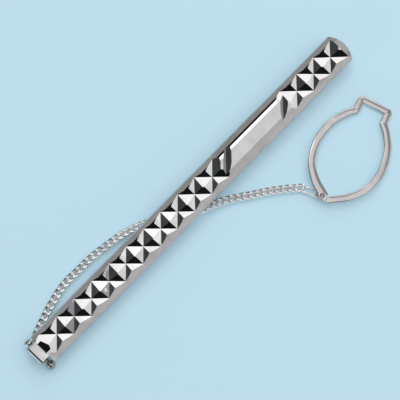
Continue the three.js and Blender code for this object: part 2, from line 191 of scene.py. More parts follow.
def softenEdges(piece, width, steps=2, angle=28):
    return finishWith(
        piece, "BEVEL", width=width * mm, segments=steps, limit_method="ANGLE",
        angle_limit=math.radians(angle), use_clamp_overlap=True, harden_normals=False,
    )


def smooth(piece, angle=30):
    holdOnly(piece)
    bpy.ops.object.shade_smooth_by_angle(angle=math.radians(angle))
    return piece


def turnSelected(angle, axis, centre):
    # with no window the operator turns the other way, so the angle is given with its sign changed
    bpy.ops.transform.rotate(value=-angle, orient_axis=axis, center_override=Vector(centre) * mm)


def rounded(points, radius, steps=5, closed=False):
    # a path with its sharp corners drawn out into short arcs
    points = [Vector(p) for p in points]
    out = []
    count = len(points)
    for i, here in enumerate(points):
        if not closed and i in (0, count - 1):
            out.append(here)
            continue
        before, after = points[i - 1], points[(i + 1) % count]
        reach = min(radius, (here - before).length * 0.45, (after - here).length * 0.45)
        start = here + (before - here).normalized() * reach
        end = here + (after - here).normalized() * reach
        if (here - before).angle(after - here) < math.radians(12):
            out.append(here)
            continue
        for k in range(steps + 1):
            t = k / steps
            out.append(start * (1 - t) ** 2 + here * 2 * t * (1 - t) + end * t ** 2)
    return out


def drawAlong(name, path, across, thick, rounding=0.0, axis="Z", closed=False, sides=0):
    # a wire or strip drawn along a flat path: one section, extruded and turned at every step
    upright = Vector((0, 0, 1)) if axis == "Z" else Vector((0, 1, 0))
    path = [Vector(p) for p in path]
    count = len(path)

    def heading(i):
        if closed:
            return (path[(i + 1) % count] - path[i - 1]).normalized()
        if i == 0:
            return (path[1] - path[0]).normalized()
        if i == count - 1:
            return (path[-1] - path[-2]).normalized()
        ahead = (path[i + 1] - path[i]).normalized()
        behind = (path[i] - path[i - 1]).normalized()
        return (ahead + behind).normalized()

    along = heading(0)
    aside = upright.cross(along)
    bpy.ops.object.select_all(action="DESELECT")
    if sides:
        bpy.ops.mesh.primitive_circle_add(vertices=sides, radius=across / 2 * mm, fill_type="NGON")
    else:
        bpy.ops.mesh.primitive_plane_add(size=mm)
    piece = called(name)
    if not sides:
        piece.scale = (across, thick, 1)
        bpy.ops.object.transform_apply(location=False, rotation=False, scale=True)
        if rounding:
            editAll(piece)
            bpy.ops.mesh.bevel(offset=rounding * mm, segments=3, affect="VERTICES")
            objectMode()
    facing = Matrix((aside, upright, along)).transposed().to_4x4()
    piece.matrix_world = Matrix.Translation(path[0] * mm) @ facing
    settle(piece, False)
    editAll(piece)
    if closed:
        bpy.ops.mesh.delete(type="ONLY_FACE")
        bpy.ops.mesh.select_all(action="SELECT")
    for i in range(1, count):
        extrude(path[i] - path[i - 1])
        new = heading(i)
        turn = math.atan2(along.cross(new).dot(upright), along.dot(new))
        if abs(turn) > 1e-5:
            turnSelected(turn, axis, path[i])
        along = new
    if closed:
        bpy.ops.mesh.select_all(action="DESELECT")
        bpy.ops.mesh.select_mode(type="EDGE")
        bpy.ops.mesh.select_non_manifold()
        bpy.ops.mesh.bridge_edge_loops()
    objectMode()
    return settle(piece)


def turned(name, rings, sides=32, axis="Y", at=(0, 0, 0)):
    # lathe work: rings of (height, radius), each extruded from the last
    start = rings[0]
    bpy.ops.object.select_all(action="DESELECT")
    bpy.ops.mesh.primitive_circle_add(vertices=sides, radius=start[1] * mm, fill_type="NGON")
    piece = called(name)
    editAll(piece)
    bpy.ops.transform.translate(value=(0, 0, start[0] * mm))
    for before, after in zip(rings, rings[1:]):
        extrude((0, 0, after[0] - before[0]))
        ratio = after[1] / before[1]
        bpy.ops.transform.resize(value=(ratio, ratio, 1), center_override=(0, 0, after[0] * mm))
    objectMode()
    piece.rotation_euler = (-math.pi / 2, 0, 0) if axis == "Y" else (0, 0, 0)
    piece.location = Vector(at) * mm
    return settle(piece)


# node groups shared by all the metals, with lengths in metres
finishes = {
    "lineScale": 2600.0,
    "lineHeight": 0.0000006,
    "smudgeScale": 260.0,
}


def newGroup(name, inputs, outputs):
    group = bpy.data.node_groups.new(name, "ShaderNodeTree")
    for label, kind, value in inputs:
        socket = group.interface.new_socket(name=label, in_out="INPUT", socket_type=kind)
        if value is not None:
            socket.default_value = value
    for label, kind in outputs:
        group.interface.new_socket(name=label, in_out="OUTPUT", socket_type=kind)
    return group, group.nodes.new("NodeGroupInput"), group.nodes.new("NodeGroupOutput")


def addNode(tree, kind, **settings):
    node = tree.nodes.new(kind)
    for key, value in settings.items():
        setattr(node, key, value)
    return node


def polishLinesGroup():
    # fine parallel lines left by buffing: a stretched noise, put out as a height
    group, source, result = newGroup(
        "polishLines",
        [("Vector", "NodeSocketVector", None), ("Scale", "NodeSocketFloat", 2600.0),
         ("Stretch", "NodeSocketFloat", 0.04)],
        [("Height", "NodeSocketFloat"), ("Mask", "NodeSocketFloat")],
    )
    split = addNode(group, "ShaderNodeSeparateXYZ")
    squeeze = addNode(group, "ShaderNodeMath", operation="MULTIPLY")
    gather = addNode(group, "ShaderNodeCombineXYZ")
    noise = addNode(group, "ShaderNodeTexNoise")
    noise.inputs["Detail"].default_value = 3
    ramp = addNode(group, "ShaderNodeMapRange")
    ramp.inputs["From Min"].default_value = 0.35
    ramp.inputs["From Max"].default_value = 0.7
    group.links.new(source.outputs["Vector"], split.inputs[0])
    group.links.new(split.outputs[0], squeeze.inputs[0])
    group.links.new(source.outputs["Stretch"], squeeze.inputs[1])
    group.links.new(squeeze.outputs[0], gather.inputs[0])
    group.links.new(split.outputs[1], gather.inputs[1])
    group.links.new(split.outputs[2], gather.inputs[2])
    group.links.new(gather.outputs[0], noise.inputs["Vector"])
    group.links.new(source.outputs["Scale"], noise.inputs["Scale"])
    group.links.new(noise.outputs[0], ramp.inputs["Value"])
    group.links.new(ramp.outputs[0], result.inputs["Height"])
    group.links.new(ramp.outputs[0], result.inputs["Mask"])
    return group


def handledGroup():
    # faint smudges from fingers: slow noise between two roughness values, and a slight change of colour
    group, source, result = newGroup(
        "handled",
        [("Vector", "NodeSocketVector", None), ("Scale", "NodeSocketFloat", 260.0),
         ("Clean", "NodeSocketFloat", 0.08), ("Smudged", "NodeSocketFloat", 0.2),
         ("Metal", "NodeSocketColor", (0.6, 0.6, 0.6, 1)),
         ("Tarnish", "NodeSocketColor", (0.5, 0.47, 0.45, 1))],
        [("Roughness", "NodeSocketFloat"), ("Color", "NodeSocketColor")],
    )
    noise = addNode(group, "ShaderNodeTexNoise")
    noise.inputs["Detail"].default_value = 5
    noise.inputs["Roughness"].default_value = 0.62
    ramp = addNode(group, "ShaderNodeMapRange")
    ramp.inputs["From Min"].default_value = 0.42
    ramp.inputs["From Max"].default_value = 0.72
    rough = addNode(group, "ShaderNodeMapRange")
    mix = addNode(group, "ShaderNodeMix", data_type="RGBA")
    group.links.new(source.outputs["Vector"], noise.inputs["Vector"])
    group.links.new(source.outputs["Scale"], noise.inputs["Scale"])
    group.links.new(noise.outputs[0], ramp.inputs["Value"])
    group.links.new(ramp.outputs[0], rough.inputs["Value"])
    group.links.new(source.outputs["Clean"], rough.inputs["To Min"])
    group.links.new(source.outputs["Smudged"], rough.inputs["To Max"])
    group.links.new(ramp.outputs[0], mix.inputs["Factor"])
    group.links.new(source.outputs["Metal"], mix.inputs["A"])
    group.links.new(source.outputs["Tarnish"], mix.inputs["B"])
    group.links.new(rough.outputs[0], result.inputs["Roughness"])
    group.links.new(mix.outputs["Result"], result.inputs["Color"])
    return group


def paintedEdgeHighlightGroup():
    # painted edge highlight: a brighter metal colour along sharp convex edges, from the surface's own
    # pointiness
    group, source, result = newGroup(
        "paintedEdgeHighlight",
        [("Color", "NodeSocketColor", (0.6, 0.6, 0.6, 1)),
         ("PaintedHighlight", "NodeSocketColor", (0.8, 0.8, 0.79, 1))],
        [("Color", "NodeSocketColor"), ("Mask", "NodeSocketFloat")],
    )
    place = addNode(group, "ShaderNodeNewGeometry")
    ramp = addNode(group, "ShaderNodeMapRange")
    ramp.inputs["From Min"].default_value = 0.53
    ramp.inputs["From Max"].default_value = 0.6
    mix = addNode(group, "ShaderNodeMix", data_type="RGBA")
    group.links.new(place.outputs["Pointiness"], ramp.inputs["Value"])
    group.links.new(ramp.outputs[0], mix.inputs["Factor"])
    group.links.new(source.outputs["Color"], mix.inputs["A"])
    group.links.new(source.outputs["PaintedHighlight"], mix.inputs["B"])
    group.links.new(mix.outputs["Result"], result.inputs["Color"])
    group.links.new(ramp.outputs[0], result.inputs["Mask"])
    return group


def softWavesGroup():
    # slow unevenness left by hand finishing, put out as a height
    group, source, result = newGroup(
        "softWaves",
        [("Vector", "NodeSocketVector", None), ("Scale", "NodeSocketFloat", 900.0)],
        [("Height", "NodeSocketFloat")],
    )
    noise = addNode(group, "ShaderNodeTexNoise")
    noise.inputs["Detail"].default_value = 1.5
    group.links.new(source.outputs["Vector"], noise.inputs["Vector"])
    group.links.new(source.outputs["Scale"], noise.inputs["Scale"])
    group.links.new(noise.outputs[0], result.inputs["Height"])
    return group


polishLines = polishLinesGroup()
softWaves = softWavesGroup()
handled = handledGroup()
paintedEdgeHighlight = paintedEdgeHighlightGroup()


def metal(name, color, tarnish, clean, smudged, lineTurn=0.0, lines=1.0, waves=0.004, waveScale=700.0):
    # plated metal: the groups give colour with a painted edge highlight, roughness and heights for polish
    # lines and slow waves
    material = bpy.data.materials.new(name)
    material.use_nodes = True
    tree = material.node_tree
    shader = tree.nodes["Principled BSDF"]
    shader.inputs["Metallic"].default_value = 1.0
    shader.inputs["IOR"].default_value = 1.8
    place = addNode(tree, "ShaderNodeTexCoord")
    mapping = addNode(tree, "ShaderNodeMapping")
    mapping.inputs["Rotation"].default_value = (0, 0, math.radians(lineTurn))
    smudge = addNode(tree, "ShaderNodeGroup", node_tree=handled)
    smudge.inputs["Scale"].default_value = finishes["smudgeScale"]
    smudge.inputs["Clean"].default_value = clean
    smudge.inputs["Smudged"].default_value = smudged
    smudge.inputs["Metal"].default_value = (*color, 1)
    smudge.inputs["Tarnish"].default_value = (*tarnish, 1)
    # painted edge highlight: sharp convex edges get a colour 18 percent brighter than the metal
    edge = addNode(tree, "ShaderNodeGroup", node_tree=paintedEdgeHighlight)
    edge.inputs["PaintedHighlight"].default_value = tuple(min(1, c * 1.18) for c in color) + (1,)
    buffed = addNode(tree, "ShaderNodeGroup", node_tree=polishLines)
    buffed.inputs["Scale"].default_value = finishes["lineScale"]
    uneven = addNode(tree, "ShaderNodeGroup", node_tree=softWaves)
    uneven.inputs["Scale"].default_value = waveScale
    swell = addNode(tree, "ShaderNodeBump")
    swell.inputs["Strength"].default_value = 1.0
    swell.inputs["Distance"].default_value = waves * mm
    bump = addNode(tree, "ShaderNodeBump")
    bump.inputs["Strength"].default_value = 0.35 * lines
    bump.inputs["Distance"].default_value = finishes["lineHeight"]
    link = tree.links.new
    link(place.outputs["Object"], mapping.inputs["Vector"])
    link(place.outputs["Object"], smudge.inputs["Vector"])
    link(mapping.outputs[0], buffed.inputs["Vector"])
    link(place.outputs["Object"], uneven.inputs["Vector"])
    link(uneven.outputs["Height"], swell.inputs["Height"])
    link(swell.outputs["Normal"], bump.inputs["Normal"])
    link(buffed.outputs["Height"], bump.inputs["Height"])
    link(smudge.outputs["Color"], edge.inputs["Color"])
    link(edge.outputs["Color"], shader.inputs["Base Color"])
    link(smudge.outputs["Roughness"], shader.inputs["Roughness"])
    link(bump.outputs["Normal"], shader.inputs["Normal"])
    return material


def dress(piece, material, slot, body, *nodes):
    piece.data.materials.clear()
    piece.data.materials.append(material)
    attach(piece, body)
    if nodes:
        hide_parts(*nodes)
    print("made", piece.name, len(piece.data.polygons), "faces")
    return piece


silver = metal("platedSilver", (0.62, 0.605, 0.6), (0.5, 0.475, 0.465), 0.05, 0.14)
cutSilver = metal("cutFacets", (0.64, 0.63, 0.625), (0.54, 0.52, 0.51), 0.03, 0.1, 45, 0.8, 0.012, 1100.0)
jawSteel = metal("brushedJaw", (0.56, 0.55, 0.54), (0.44, 0.42, 0.4), 0.16, 0.3, 0, 2.2)
springSteel = metal("springSteel", (0.45, 0.44, 0.43), (0.33, 0.31, 0.29), 0.22, 0.38, 0, 2.0)
pinSteel = metal("pinSteel", (0.42, 0.415, 0.41), (0.3, 0.29, 0.28), 0.12, 0.26, 90, 1.2)
wireSilver = metal("wireSilver", (0.95, 0.945, 0.94), (0.8, 0.78, 0.76), 0.12, 0.22, 30, 0.8)
loopSilver = metal("loopSilver", (0.58, 0.55, 0.54), (0.5, 0.46, 0.45), 0.05, 0.14, 16, 1.2)
print("finishes ready")

# curb chain: one link, twisted and copied along the route
curbChain = {
    "linkPitch": 0.9,
    "linkWidth": 1.27,
    "wire": 0.42,
    "twist": 118.0,
    "unevenness": 4.0,
    "firstLink": 0.35,
    "lastLink": 0.3,
    "route": [
        (-27.85, 2.1, 0.45), (-26.8, 2.45, 0.45), (-25.9, 2.78, 0.45), (-25.0, 3.08, 0.45),
        (-23.9, 3.45, 0.45), (-22.4, 3.85, 0.45), (-20.8, 4.2, 0.45), (-19.2, 4.35, 0.45),
        (-17.5, 4.3, 0.45), (-15.6, 4.28, 0.45), (-13.7, 4.12, 0.45), (-12.0, 3.88, 0.45),
        (-10.4, 3.62, 0.47), (-9.0, 3.25, 0.66), (-7.9, 2.82, 0.93), (-6.8, 2.28, 1.13),
        (-5.2, 1.28, 1.16), (-3.4, 0.1, 1.16), (-1.6, -1.02, 1.16), (-0.2, -1.75, 1.14),
        (1.2, -2.3, 1.1), (2.5, -2.85, 0.86), (3.9, -3.62, 0.6), (5.4, -4.62, 0.46),
        (7.0, -5.72, 0.45), (8.6, -6.78, 0.45), (10.0, -7.86, 0.45), (10.85, -8.58, 0.45),
        (11.5, -9.15, 0.45),
    ],
}


def curveThrough(points, steps=8):
    # Catmull-Rom through every point
    points = [Vector(p) for p in points]
    ends = [points[0] * 2 - points[1]] + points + [points[-1] * 2 - points[-2]]
    out = []
    for a, b, c, d in zip(ends, ends[1:], ends[2:], ends[3:]):
        for k in range(steps):
            t = k / steps
            square, cube = a * 2 - b * 5 + c * 4 - d, b * 3 - a - c * 3 + d
            out.append(0.5 * ((b * 2) + (c - a) * t + square * t * t + cube * t ** 3))
    return out + [points[-1]]


def evenly(line, gap, first):
    # places a fixed distance apart along a line, each with its heading
    spots, walked, due = [], 0.0, first
    for a, b in zip(line, line[1:]):
        length = (b - a).length
        while due <= walked + length:
            spots.append((a.lerp(b, (due - walked) / length), (b - a).normalized()))
            due += gap
        walked += length
    return spots, walked


def oneLink():
    wire = curbChain["wire"]
    half = (curbChain["linkWidth"] - wire) / 2
    long = (curbChain["linkPitch"] + wire) / 2
    bpy.ops.object.select_all(action="DESELECT")
    bpy.ops.mesh.primitive_torus_add(
        major_segments=28, minor_segments=8, major_radius=half * mm, minor_radius=wire / 2 * mm,
    )
    link = called("link")
    settle(link, False)
    slide(link, lambda x, y, z: x > 0.02, (long - half, 0, 0))
    slide(link, lambda x, y, z: x < -0.02, (half - long, 0, 0))
    twist = math.radians(curbChain["twist"])
    finishWith(link, "SIMPLE_DEFORM", deform_method="TWIST", deform_axis="X", angle=twist)
    return link


def makeChain():
    line = curveThrough(curbChain["route"])
    ahead = (line[-1] - line[-2]).normalized()
    reached = line + [line[-1] + ahead * 0.8]
    length = sum((b - a).length for a, b in zip(line, line[1:]))
    first, last = curbChain["firstLink"], length + curbChain["lastLink"]
    count = round((last - first) / curbChain["linkPitch"])
    spots, walked = evenly(reached, (last - first) / count - 0.00001, first)
    pattern = oneLink()
    copies = []
    for spot, ahead in spots:
        holdOnly(pattern)
        bpy.ops.object.duplicate()
        copy = bpy.context.object
        aside = Vector((0, 0, 1)).cross(ahead).normalized()
        basis = Matrix((ahead, aside, ahead.cross(aside))).transposed()
        roll = Matrix.Rotation(math.radians(chance.gauss(0, curbChain["unevenness"])), 3, "X")
        copy.matrix_world = Matrix.Translation(spot * mm) @ (basis @ roll).to_4x4()
        copies.append(copy)
    bpy.data.objects.remove(pattern)
    chain = settle(join(copies, "curbChain"), False)
    smooth(chain, 60)
    print("chain", len(copies), "links,", round(length, 1), "mm")
    return chain, [p * mm for p in line], length * mm


chain, chainLine, chainLength = makeChain()
dress(chain, wireSilver, "chain_metal", "jaw", "curb_chain")

# jump ring on the pin, and the link ring between chain and loop
wireRings = {
    "pinRingWire": 0.18,
    "linkWire": 0.17,
    "linkLength": 2.4,
    "linkHalfWidth": 0.5,
    "linkEndRadius": 0.36,
    "linkCorner": 0.3,
    "linkTurn": 25.0,
}


def makePinRing():
    low, high = (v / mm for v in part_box("pin_ring"))
    middle = (low + high) / 2
    radius = (high.x - low.x) / 2 - wireRings["pinRingWire"]
    path = [
        (middle.x + radius * math.cos(a), middle.y, middle.z + radius * math.sin(a))
        for a in (math.radians(k * 10 + 5) for k in range(36))
    ]
    wire = wireRings["pinRingWire"] * 2
    ring = drawAlong("pinRing", path, wire, 0, axis="Y", closed=True, sides=12)
    return smooth(ring, 60)


def makeLinkRing():
    # a long ring: a straight side in the eye, sides that close in, and a round end for the chain
    half, length = wireRings["linkHalfWidth"], wireRings["linkLength"]
    end, corner = wireRings["linkEndRadius"], wireRings["linkCorner"]
    side = [(half - corner, 0)]
    for a in (math.radians(18 * k) for k in range(1, 6)):
        side.append((half - corner + corner * math.sin(a), corner - corner * math.cos(a)))
    for k in range(1, 4):
        side.append((half - (half - end) * k / 4, corner + (length - end - corner) * k / 4))
    turns = [math.radians(15 * k) for k in range(13)]
    roundEnd = [(end * math.cos(a), length - end + end * math.sin(a)) for a in turns]
    outline = [(-side[0][0], 0)] + side + roundEnd + [(-x, y) for x, y in reversed(side[1:])]
    swing = next(j for j in frame["joints"] if j["name"] == "loop_turn")
    centre = Vector(swing["pos_m"]) / mm
    turn = Matrix.Rotation(math.radians(wireRings["linkTurn"]), 3, "Z")
    path = [centre + turn @ Vector((x, y, 0)) for x, y in outline]
    ring = drawAlong("linkRing", path, wireRings["linkWire"] * 2, 0, axis="Z", closed=True, sides=12)
    return smooth(ring, 60)


pinRing = dress(makePinRing(), wireSilver, "ring_metal", "chain_start", "pin_ring")
linkRing = dress(makeLinkRing(), wireSilver, "ring_metal", "chain_end", "link_ring")

# button loop: one flat wire, its end rolled under into an eye
buttonLoop = {
    "origin": (13.0, -13.05, 0.02),
    "turn": 16.7,
    "length": 15.25,
    "halfWidth": 5.34,
    "slotHalf": 2.55,
    "slotDepth": 2.1,
    "across": 0.98,
    "thick": 0.48,
    "wireRound": 0.15,
    "cornerRound": 0.26,
    "slit": 0.26,
    "padRadius": 0.6,
    "padPlace": (0.02, 0.76),
    "dimple": 0.36,
    "broadFrom": 3.4,
    "broadest": 1.3,
    "lift": 0.95,
    "eyeRadius": 0.54,
    "eyeWall": 0.26,
    "eyeLength": 0.5,
    "eyePlace": (0.2, 1.2),
    "linkTurn": 8.3,
}


def armLine():
    # one arm, from the middle of the slot end round to just past the meeting ends
    values = buttonLoop
    inset = values["across"] / 2
    wide, slotHalf = values["halfWidth"] - inset, values["slotHalf"] - inset
    shoulder = values["length"] - values["slotDepth"] - inset * 0.35
    slotEnd = values["length"] - inset
    knots = [
        (shoulder, slotHalf), (shoulder - 1.1, slotHalf + 1.05), (shoulder * 0.75, wide * 0.89),
        (shoulder * 0.52, wide), (shoulder * 0.28 + inset * 0.2, wide * 0.87),
        (1.3 + inset * 0.55, wide * 0.53), (0.13, 0.55),
    ]
    curve = curveThrough([(x, y, 0) for x, y in knots], 7)
    past = curve[-1] + (curve[-1] - curve[-2]).normalized() * 0.7
    return rounded([(slotEnd, 0, 0), (slotEnd, slotHalf, 0)] + curve + [past], values["cornerRound"], 5)


def makeLoop():
    values = buttonLoop
    eyeX, eyeY = values["eyePlace"]
    low, high = values["lift"] + 0.01, values["lift"] + values["thick"] + 0.01
    line = [Vector((p.x, p.y, (low + high) / 2)) for p in armLine()]
    arm = drawAlong("buttonLoop", line, values["across"], values["thick"], values["wireRound"])
    carve(arm, block("slit", (-2, -2, 0), (3, values["slit"] / 2, 3)))
    # the slot end is left open where the two arms meet, and the arm is mirrored
    pick(arm, lambda x, y, z: abs(y) < 0.01 and x > 10)
    bpy.ops.mesh.delete(type="ONLY_FACE")
    objectMode()
    finishWith(arm, "MIRROR", use_axis=(False, True, False), merge_threshold=0.00001)
    loop = settle(arm)
    # one arm broadens towards its end, which is rounded and has a deep dimple

    def nearest(x, y):
        return min(line, key=lambda spot: (spot.x - x) ** 2 + (spot.y - y) ** 2)

    for here in line:
        share = 1 - here.x / values["broadFrom"]
        if share > 0 and here.x > 0.12:
            grow = 1 + (values["broadest"] - 1) * min(1, share * 1.3)
            pick(loop, lambda x, y, z: y > 0.05 and x < 4.5 and nearest(x, y) is here)
            bpy.ops.transform.resize(value=(grow, grow, 1), center_override=here * mm)
    objectMode()
    carve(loop, block("slit", (-2, -values["slit"] / 2, 0), (3, values["slit"] / 2, 3)))
    padX, padY = values["padPlace"]
    pad, deep = values["padRadius"], values["dimple"]
    lower = [(low, pad - 0.12), (low + 0.06, pad - 0.03), (low + 0.15, pad)]
    upper = [(high - 0.15, pad), (high - 0.06, pad - 0.03), (high, pad - 0.12)]
    carve(loop, turned("pad", lower + upper, 28, "Z", (padX, padY, 0)), "UNION")
    turns = [math.radians(10 + 13 * k) for k in range(6)]
    bowl = [(high - deep * math.cos(a), deep * math.sin(a)) for a in turns] + [(high + 0.3, deep)]
    carve(loop, turned("bowl", bowl, 28, "Z", (padX, padY, 0)))
    # the wire's end is rolled under round the link ring
    bend = values["eyeRadius"] - values["eyeWall"] / 2
    turns = [math.radians(15 * k) for k in range(24)]
    path = [(bend * math.cos(a), 0, bend * math.sin(a)) for a in turns]
    eye = drawAlong("eye", path, values["eyeWall"], values["eyeLength"], 0.05, axis="Y", closed=True)
    eye.rotation_euler = (0, 0, math.pi / 2 + math.radians(values["linkTurn"]))
    eye.location = Vector((eyeX, eyeY, values["eyeRadius"])) * mm
    loop = join([loop, settle(eye)], "buttonLoop")
    tilt = math.asin(values["lift"] / (values["length"] - eyeX))
    pivot = Matrix.Translation(Vector((eyeX, 0, values["eyeRadius"])) * mm)
    turn = Matrix.Rotation(math.radians(values["turn"]), 4, "Z")
    place = Matrix.Translation(Vector(values["origin"]) * mm) @ turn
    loop.matrix_world = place @ pivot @ Matrix.Rotation(tilt, 4, "Y") @ pivot.inverted()
    return smooth(settle(loop), 40)


loop = dress(makeLoop(), loopSilver, "loop_metal", "loop", "button_loop")

print("chain and loop done")

# front bar: pressed strip with a crowned land, sloped bands and diamond cuts
frontBar = {
    "landWidth": 2.6,
    "landCrown": 0.12,
    "bandDrop": 0.8,
    "wall": 0.45,
    "roof": 0.85,
    "noseBulge": 0.9,
    "noseBand": 1.0,
    "noseLip": 2.6,
    "edgeRound": 0.28,
    "outerRound": 0.09,
    "cell": 1.15,
    "tongueLength": 1.65,
    "tongueWidth": 2.7,
    "tongueStep": 0.25,
    "tongueWall": 0.35,
    "tongueCurl": 0.62,
    "flangeRadius": 0.6,
    "flangeBore": 0.35,
    "rampDip": 0.15,
    "rampLength": 1.37,
    "wallFoot": 1.9,
    "earFoot": 1.2,
    "notchFoot": 1.8,
}

diamondCuts = {
    "depth": 0.4,
    "pitch": 3.3,
    "longStart": 4.4,
    "longCount": 10,
    "shortBack": 2.8,
    "shortCount": 3,
    # slopes of the two sides of each V, (behind, ahead) of the graver, for the two directions of cut
    "slopes": {45: (16.5, 23.5), -45: (20.5, 18.5)},
    "handSlope": 1.5,
    "handTurn": 1.4,
    # the single light cut beyond each section
    "endStep": 2.7,
    "endDepth": 0.26,
    "endSlopes": (35.0, 19.0),
}

barLow, barHigh = (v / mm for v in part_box("bar_shell"))
tailX, noseX, top = barLow.x, barHigh.x, barHigh.z
jawHinge = next(j for j in frame["joints"] if j["name"] == "jaw_hinge")
pinX, pinZ = jawHinge["pos_m"][0] / mm, jawHinge["pos_m"][2] / mm
halfBar = barHigh.y
bodyTail = tailX + frontBar["tongueLength"]
landHalf = frontBar["landWidth"] / 2
bandTop = top - frontBar["landCrown"]
bandFoot = bandTop - frontBar["bandDrop"]
roofUnder = top - frontBar["roof"]


def faceHeight(y):
    if abs(y) <= landHalf:
        return top - frontBar["landCrown"] * (y / landHalf) ** 2
    return bandTop - frontBar["bandDrop"] * (abs(y) - landHalf) / (halfBar - landHalf)


def noseReach(y, z):
    # the arched end, with its sloped end band
    radius = (halfBar ** 2 + frontBar["noseBulge"] ** 2) / (2 * frontBar["noseBulge"])
    lip = frontBar["noseLip"]
    back = frontBar["noseBand"] * max(0, z - lip) / (top - lip)
    return noseX - radius + math.sqrt((radius - back) ** 2 - y ** 2)


def solidBar():
    low = frontBar["earFoot"] - 0.2
    bpy.ops.object.select_all(action="DESELECT")
    bpy.ops.mesh.primitive_plane_add(size=mm)
    bar = called("barShell")
    bar.matrix_world = (
        Matrix.Translation(Vector((bodyTail, 0, (low + top) / 2)) * mm)
        @ Matrix.Rotation(math.pi / 2, 4, "Y")
        @ Matrix.Diagonal((top - low, halfBar * 2, 1, 1))
    )
    settle(bar, False)
    rows = [landHalf * k / 4 for k in range(-4, 5)]
    rows += [s * (landHalf + (halfBar - landHalf) * k / 3) for s in (-1, 1) for k in (1, 2)]
    for y in rows:
        editAll(bar)
        bpy.ops.mesh.bisect(plane_co=(0, y * mm, 0), plane_no=(0, 1, 0))
    for z in (bandFoot, frontBar["noseLip"]):
        editAll(bar)
        bpy.ops.mesh.bisect(plane_co=(0, 0, z * mm), plane_no=(0, 0, 1))
    for y in sorted(rows + [-halfBar, halfBar]):
        drop = faceHeight(y) - top
        slide(bar, lambda px, py, pz: pz > top - 0.01 and abs(py - y) < 0.01, (0, 0, drop))
    editAll(bar)
    bpy.ops.mesh.remove_doubles(threshold=0.00001)
    extrude((noseX - bodyTail, 0, 0))
    objectMode()
    points = [vertex.co / mm for vertex in bar.data.vertices]
    ends = sorted({(round(at.y, 3), round(at.z, 3)) for at in points if at.x > noseX - 0.01})
    for y, z in ends:
        slide(
            bar, lambda px, py, pz: px > noseX - 0.01 and abs(py - y) < 0.01 and abs(pz - z) < 0.01,
            (noseReach(y, z) - noseX, 0, 0),
        )
    settle(bar)
    # the long borders between land and bands, and the bands' outer edges, are buffed round

    def longEdge(a, b, side):
        return abs(a.x - b.x) > 20 and abs(a.y - b.y) < 0.01 and abs(abs(a.y) - side) < 0.01

    pickEdges(bar, lambda a, b: longEdge(a, b, landHalf))
    bpy.ops.mesh.bevel(offset=frontBar["edgeRound"] * mm, segments=8, affect="EDGES", profile=0.5)
    pickEdges(bar, lambda a, b: longEdge(a, b, halfBar) and a.z > bandFoot - 0.05)
    bpy.ops.mesh.bevel(offset=frontBar["outerRound"] * mm, segments=4, affect="EDGES", profile=0.5)
    # short cells along the bar keep its shading even beside the cuts
    for step in range(1, int((noseX - bodyTail) / frontBar["cell"])):
        editAll(bar)
        x = bodyTail + step * frontBar["cell"]
        bpy.ops.mesh.bisect(plane_co=(x * mm, 0, 0), plane_no=(1, 0, 0))
    objectMode()
    return settle(bar)


def channelTool():
    # the hollow under the face
    half, slope = halfBar - frontBar["wall"], frontBar["bandDrop"] / (halfBar - landHalf)
    corner = bandFoot - 0.22
    tool = block("channel", (bodyTail + frontBar["wall"], -half, -1), (noseX - 1.1, half, corner))
    pick(tool, lambda x, y, z: z > corner - 0.01)
    extrude((0, 0, roofUnder - corner))
    inner = half - (roofUnder - corner) / slope
    bpy.ops.transform.resize(value=(1, inner / half, 1), center_override=(0, 0, 0))
    objectMode()
    return settle(tool)


def sideTool(name, outline, width):
    # a side outline (x, z) as a slab across the bar
    bpy.ops.object.select_all(action="DESELECT")
    bpy.ops.mesh.primitive_circle_add(vertices=len(outline), radius=mm, fill_type="NGON")
    tool = called(name)
    holdOnly(tool)
    start = [v.co.copy() for v in tool.data.vertices]
    for i, (x, z) in enumerate(outline):
        editAll(tool)
        bpy.ops.mesh.select_all(action="DESELECT")
        bpy.ops.object.mode_set(mode="OBJECT")
        tool.data.vertices[i].select = True
        bpy.ops.object.mode_set(mode="EDIT")
        bpy.ops.transform.translate(value=Vector((x * mm, -width / 2 * mm, z * mm)) - start[i])
    editAll(tool)
    extrude((0, width, 0))
    return settle(tool)


def underTool():
    # all that lies under the side walls: a notch over the pin, deep ears, then shallow walls
    values = frontBar
    outline = [
        (bodyTail - 1, -1), (noseX + 1, -1),
        (noseX + 1, values["wallFoot"]), (tailX + 21, values["wallFoot"]),
        (tailX + 16.2, values["earFoot"]), (bodyTail + 0.5, values["earFoot"]),
        (bodyTail + 0.5, values["notchFoot"]), (bodyTail - 1, values["notchFoot"]),
    ]
    return sideTool("under", outline, halfBar * 2 + 1)


def tongueHood():
    # a narrow hood curled down at the tail, whose two flanges carry the pin
    step = top - frontBar["tongueStep"]
    curl, flange = frontBar["tongueCurl"], frontBar["flangeRadius"]
    outline = [(bodyTail + 0.6, step), (tailX + curl, step)]
    for k in range(1, 9):
        t = k / 8
        outline.append((tailX + curl * (1 - t) ** 2, step - 0.65 * t ** 2))
    outline += [(tailX, step - 0.95), (pinX - flange, pinZ + 0.6), (pinX - flange, pinZ)]
    turns = [math.radians(180 + 15 * k) for k in range(1, 13)]
    outline += [(pinX + flange * math.cos(a), pinZ + flange * math.sin(a)) for a in turns]
    outline += [(pinX + flange, pinZ + 0.5), (bodyTail + 0.6, frontBar["notchFoot"])]
    hood = sideTool("hood", outline, frontBar["tongueWidth"])
    softenEdges(hood, 0.09, 3, 40)
    inside = frontBar["tongueWidth"] / 2 - frontBar["tongueWall"]
    roof = step - frontBar["wall"]
    hollow = block("hollow", (tailX + 0.4, -inside, -1), (bodyTail + 1, inside, roof))
    mouth = block("mouth", (tailX - 1, -inside, -1), (pinX, inside, step - 1.05))
    hole = frontBar["flangeBore"]
    bore = turned("bore", [(-3, hole), (3, hole)], 24, "Y", (pinX, 0, pinZ))
    return hood, hollow, mouth, bore


